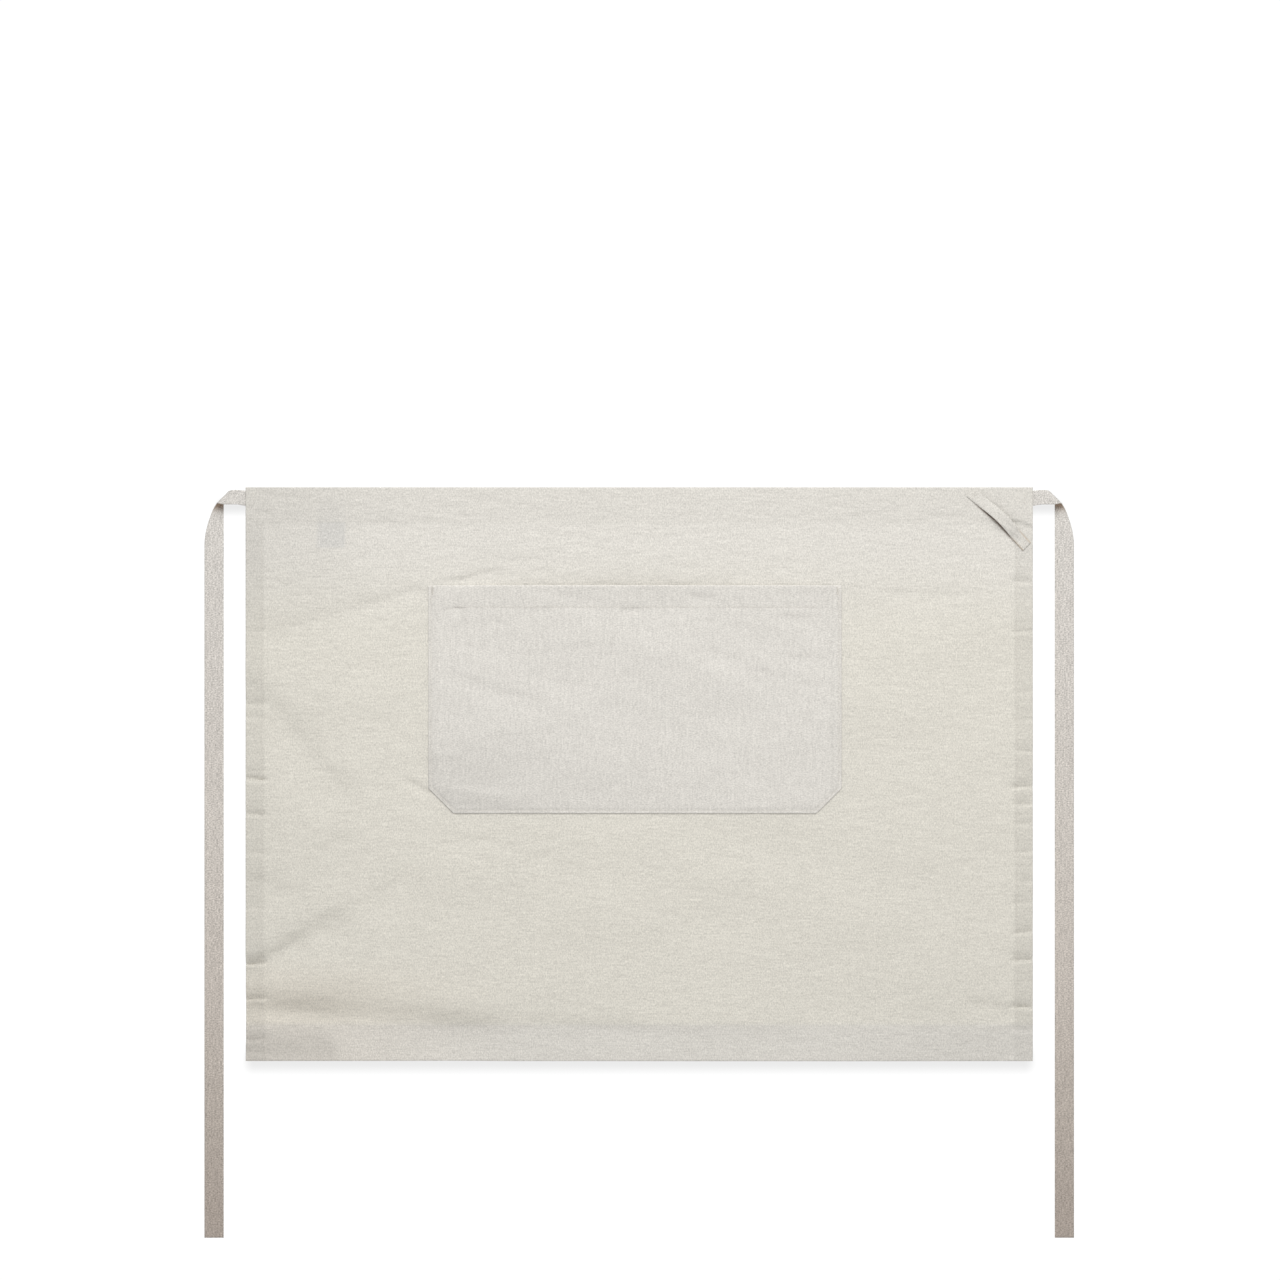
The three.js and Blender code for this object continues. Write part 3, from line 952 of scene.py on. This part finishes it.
def folded_tie(along, across, out):
    """The place of a point of the flat right-hand tie after its 45-degree fold."""
    past_fold = (along - TIE_FOLD_AT + across) / math.sqrt(2)
    on_fold = (along - TIE_FOLD_AT - across) / math.sqrt(2)
    turn = np.clip(past_fold / TIE_FOLD_RADIUS, 0, math.pi)
    after_turn = np.maximum(past_fold - math.pi * TIE_FOLD_RADIUS, 0)
    radius = TIE_FOLD_RADIUS + out
    reach = np.minimum(past_fold, 0) + radius * np.sin(turn) - after_turn
    return np.stack([
        HALF + TIE_FOLD_AT + (on_fold + reach) / math.sqrt(2),
        TIE_Y + TIE_FOLD_RADIUS - radius * np.cos(turn),
        TIE_Z + (reach - on_fold) / math.sqrt(2),
    ], axis=-1)


def along_at(z):
    """Distance along the tie at which its hanging part passes a height."""
    return TIE_FOLD_AT + TIE_Z + math.pi * TIE_FOLD_RADIUS / math.sqrt(2) - z


def tie_relief(along, share):
    """The tie's own shape off its middle surface: sewn edges, a slack middle and cross creases."""
    hanging = smooth(along_at(-0.03), along_at(-0.10), along)
    relief = -0.00035 * share ** 2 * hanging + 0.00012 * smooth(0.72, 0.82, np.abs(share))
    relief = relief - 0.00014 * bell(np.abs(share) - 0.74, 0.05)
    relief = relief + 0.00009 * ripples(along, share * 0.01, 0.03, 0.02, 41)
    for place, depth in TIE_CREASES:
        distance = along - along_at(place / 1000) - 0.0012 * share
        relief = relief + 1.5 * depth / 1000 * lopsided(distance, 0.0030, 0.6) * hanging
    return relief


TIE_GREY_AND_SHADE_Z = (-0.72, -0.62, -0.50, -0.33, -0.09, 0.02)
TIE_GREY_AND_SHADE = ((0.590, 0.672, 0.785, 0.865, 0.890, 0.895),
             (0.530, 0.620, 0.739, 0.835, 0.875, 0.890),
             (0.504, 0.595, 0.723, 0.830, 0.885, 0.905))


def tie_tone(along, across, out):
    """The ties are a greyer linen than the apron; their darkening towards the free ends is painted shade."""
    z = along_at(0) - along
    tint = np.stack([np.interp(z, TIE_GREY_AND_SHADE_Z, tones) for tones in TIE_GREY_AND_SHADE], axis=-1)
    # Painted shade in brown inside the fold, on the fold's inner face.
    fold_shade = bell(along - TIE_FOLD_AT - 0.016, 0.0055) * (out < 0)
    return tinted(tint, fold_shade, (0.38, 0.52, 0.62))


def make_tie(word, side):
    u = grid_lines(-TIE_HIDDEN, (0.0, 0.002), (along_at(-0.02), 0.0008), (along_at(-0.08), 0.002),
                   (TIE_LENGTH - TIE_HIDDEN, 0.0026))
    v = np.sort(np.concatenate([np.linspace(-1, 1, 15), [-0.79, 0.79]]))

    def place(along, share, out):
        off = out + tie_relief(along, share) * smooth(0, 0.01, along)
        return folded_tie(along, tie_across(along, share), off) * (side, 1, 1)

    def flat(along, share):
        return along, share * TIE_WIDTH / 2

    piece = slab(f"{word}_tie_strap", u, v, place, TIE_THICKNESS, TIE_LINEN, flat=flat, tone=tie_tone,
                 flip=side < 0, seed=9.0 + side)
    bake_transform(piece)
    stand_in(piece, "linen_tie", f"{word}_tie_fold", f"{word}_tie_tail")

    low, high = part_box(f"{word}_tie_stitch")
    x = (low.x + high.x) / 2
    runs = stitches([(x, low.z), (x, high.z)], panel_front)
    sewn(f"{word}_tie_stitches", runs, f"{word}_tie_stitch", "waistband")


for which in SIDES:
    make_tie(*which)

# ---- Hanging loop ----

def loop_rise(distance):
    """How far the loop stands off the panel at a distance from its middle."""
    share = np.clip(np.abs(distance) / (LOOP_SPAN / 2 - LOOP_PAD), 0, 1)
    return LOOP_HEIGHT * np.cos(share * math.pi / 2) ** 2


def loop_place(distance, across, out):
    share = distance / (LOOP_SPAN / 2)
    sideways = across + LOOP_BOW * (1 - share ** 2) ** 2
    x = LOOP_MIDDLE[0] + distance * LOOP_ALONG[0] + sideways * LOOP_ACROSS[0]
    z = LOOP_MIDDLE[1] + distance * LOOP_ALONG[1] + sideways * LOOP_ACROSS[1]
    cupped = 0.0004 * (1 - (2 * across / LOOP_WIDTH) ** 2) * (1 - share ** 2)
    wrinkled = 0.00012 * ripples(distance, across, 0.02, 0.01, 51)
    crumple = 0.0005 * bell(distance - 0.022, 0.0022) * (1 - 0.5 * across / LOOP_WIDTH)
    rise = loop_rise(distance) + cupped + wrinkled * (1 - share ** 4) - crumple
    held = 0.5 * (drape(x, z) + np.abs(drape(x, z)))
    return np.stack([x, LOOP_REAR - CLOTH / 2 - rise - held - out, z], axis=-1)


def loop_tone(distance, across, out):
    # Painted shade: darker across the loop at its crumple and along its lower left edge, and browner along
    # both edges towards the lower end.
    crumple_shade = bell(distance - 0.024, 0.004)
    outline = bell(np.abs(across) - LOOP_WIDTH / 2, 0.0008)
    level = 0.95 - 0.05 * outline * (across < 0) - 0.10 * crumple_shade
    return tinted(grey(level), outline * smooth(0.018, 0.030, distance), (0.22, 0.32, 0.42))


def loop_point(distance, across=0.0, out=0.0):
    return loop_place(*(np.array([value]) for value in (distance, across, out)))[0]


def loop_end_stitches(word, side):
    """Two rows of stitches across a sewn end of the loop."""
    half = LOOP_WIDTH / 2 - 0.001
    proud = CLOTH / 2 + 0.3 * THREAD
    middle = LOOP_SPAN / 2 - LOOP_PAD / 2
    runs = []
    for row in (middle - 0.0012, middle + 0.0012):
        for across in np.arange(-half, half - STITCH * 0.5, 0.0024):
            ends = (loop_point(side * row, a, proud) for a in (across, min(across + 0.0019, half)))
            runs.append((*ends, FORWARD))
    sewn(f"loop_{word}_stitches", runs, f"loop_{word}_stitch", "waistband")


def make_loop_half(word, side):
    u = np.sort(side * grid_lines(0, (LOOP_SPAN / 2, 0.001)))
    v = grid_lines(-LOOP_WIDTH / 2, (LOOP_WIDTH / 2, 0.0011))
    piece = slab(f"loop_strap_{word}", u, v, loop_place, CLOTH, LOOP_LINEN, tone=loop_tone,
                 square=(middle_side(side),), seed=13.0)
    still, moving = loop_point(side * 0.034), loop_point(side * 0.013)
    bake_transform(piece)
    stand_in(piece, "linen_loop", f"loop_{word}_end", "hanging_loop")
    loop_end_stitches(word, side)
    return piece


loop_halves = [make_loop_half("upper", -1), make_loop_half("lower", 1)]

# ---- Care label ----


def make_label():
    """A blank woven label on the back, caught in the top hem's seam."""
    u = grid_lines(LABEL_LO.x, (LABEL_HI.x, 0.0014))
    v = grid_lines(LABEL_LO.z, (LABEL_HI.z + 0.0008, 0.0012))
    thickness = LABEL_HI.y - LABEL_LO.y
    middle_y = (LABEL_LO.y + LABEL_HI.y) / 2

    def place(x, z, out):
        down = (LABEL_HI.z - z) / (LABEL_HI.z - LABEL_LO.z)
        across = (x - (LABEL_LO.x + LABEL_HI.x) / 2) / (LABEL_HI.x - LABEL_LO.x)
        curl = 0.0016 * np.clip(down, 0, 1) ** 2 + 0.0006 * across ** 2 * down
        y = middle_y - np.minimum(drape(x, z), 0) + curl - out
        return np.stack([x, y, z], axis=-1)

    piece = slab("care_label_tape", u, v, place, thickness * 0.7, TAPE)
    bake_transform(piece)
    stand_in(piece, "label_tape", "care_label")
    return piece


label = make_label()

# ---- Floor, backdrop and light ----

FLOOR_Z = -0.93
FLOOR_REACH = 25.0
FLOOR_GREY = 0.86
FAR_Y = 0.90
FAR_ACROSS = (-3.5, 3.5)
FAR_TOP = 2.5
FAR_GLOW = 1.05
# Painted shades close behind the apron stand in for its thin shadow on the white ground, below the hem and
# in the ties' corners. Each is its place across, its place up, the width of its soft edge and its depth.
NEAR_Y = 0.0112
SHADOW_PLACES = (
    ((-0.410, 0.410), (-0.5855, -0.545), 0.0178, 0.21),
    ((-0.4376, -0.386), (-0.0152, 0.0128), 0.014, 0.21),
    ((0.386, 0.4376), (-0.0152, 0.0128), 0.014, 0.21),
)


def plane(name, corners, material):
    mesh = bpy.data.meshes.new(name)
    mesh.from_pydata(corners, [], [(0, 1, 2, 3)])
    mesh.materials.append(material)
    piece = new_object(name, mesh)
    return piece


def soft_edges(nodes, across, up, edge):
    """1 inside an upright rectangle, falling to 0 at its edges."""
    place = nodes.add("ShaderNodeSeparateXYZ")
    nodes.link(nodes.add("ShaderNodeNewGeometry").outputs["Position"], place.inputs[0])
    covered = 1.0
    for axis, (low, high) in (("X", across), ("Z", up)):
        for end, inwards in ((low, edge), (high, -edge)):
            values = {"From Min": end, "From Max": end + inwards}
            ramp = nodes.add("ShaderNodeMapRange", values, interpolation_type="SMOOTHSTEP")
            nodes.link(place.outputs[axis], ramp.inputs["Value"])
            covered = nodes.number("MULTIPLY", ramp.outputs["Result"], covered)
    return covered


def front_side(nodes):
    """1 on the side of a wall that faces the camera, 0 on the other."""
    return nodes.number("SUBTRACT", 1.0, nodes.add("ShaderNodeNewGeometry").outputs["Backfacing"])


def stage_wall(name, y, across, up, nodes):
    """An upright wall of the stage that lights and shades nothing."""
    corners = [(across[0], y, up[0]), (across[1], y, up[0]), (across[1], y, up[1]), (across[0], y, up[1])]
    wall = plane(name, corners, nodes.material)
    for ray in ("diffuse", "glossy", "transmission", "shadow"):
        setattr(wall, f"visible_{ray}", False)


def make_backdrop():
    """A glowing white wall that shows only from the front."""
    nodes = Nodes("backdrop")
    glow = nodes.add("ShaderNodeEmission", {"Strength": FAR_GLOW})
    mix = nodes.add("ShaderNodeMixShader")
    nodes.link(front_side(nodes), mix.inputs[0])
    nodes.link(nodes.add("ShaderNodeBsdfTransparent").outputs[0], mix.inputs[1])
    nodes.link(glow.outputs[0], mix.inputs[2])
    nodes.link(mix.outputs[0], nodes.tree.nodes["Material Output"].inputs["Surface"])
    stage_wall("backdrop", FAR_Y, FAR_ACROSS, (FLOOR_Z, FAR_TOP), nodes)


def make_soft_shadow(name, across, up, edge, depth):
    """A shade that darkens what lies behind it, seen from the front only."""
    nodes = Nodes(name)
    shade = nodes.number("MULTIPLY", front_side(nodes), soft_edges(nodes, across, up, edge))
    clear = nodes.add("ShaderNodeBsdfTransparent")
    nodes.link(nodes.number("SUBTRACT", 1.0, nodes.number("MULTIPLY", shade, depth)), clear.inputs["Color"])
    nodes.link(clear.outputs[0], nodes.tree.nodes["Material Output"].inputs["Surface"])
    stage_wall(name, NEAR_Y, across, up, nodes)


def make_floor():
    floor = Nodes("floor")
    floor.shader.inputs["Base Color"].default_value = (FLOOR_GREY, FLOOR_GREY, FLOOR_GREY, 1)
    floor.shader.inputs["Roughness"].default_value = 0.9
    corners = [(x * FLOOR_REACH, y * FLOOR_REACH, FLOOR_Z) for x, y in ((-1, -1), (1, -1), (1, 1), (-1, 1))]
    plane("floor", corners, floor.material)


WORLD_LEVEL = 0.42
KEY_POWER = 74.8
BACK_POWER = 30.0


def panel_light(name, place, size, power):
    """A soft light panel, turned towards the apron."""
    data = bpy.data.lights.new(name, "AREA")
    data.shape = "RECTANGLE"
    data.size, data.size_y = size
    data.energy = power
    light = new_object(name, data)
    light.location = place
    aim = np.array([0.0, 0.0, -0.2]) - np.array(place)
    light.rotation_euler = (math.atan2(math.hypot(aim[0], aim[1]), -aim[2]), 0, math.atan2(-aim[0], aim[1]))


def make_light():
    world = bpy.data.worlds.new("studio")
    world.use_nodes = True
    background = world.node_tree.nodes["Background"]
    background.inputs["Color"].default_value = (1, 1, 1, 1)
    background.inputs["Strength"].default_value = WORLD_LEVEL
    SCENE.world = world
    panel_light("key", (0.10, -1.75, 1.75), (2.0, 1.9), KEY_POWER)
    panel_light("back", (0.6, 2.2, 1.6), (2.0, 1.6), BACK_POWER)
    SCENE.view_settings.view_transform = "Standard"


make_floor()
make_backdrop()
for k, shadow in enumerate(SHADOW_PLACES):
    make_soft_shadow(f"soft_shadow_{k}", *shadow)
make_light()
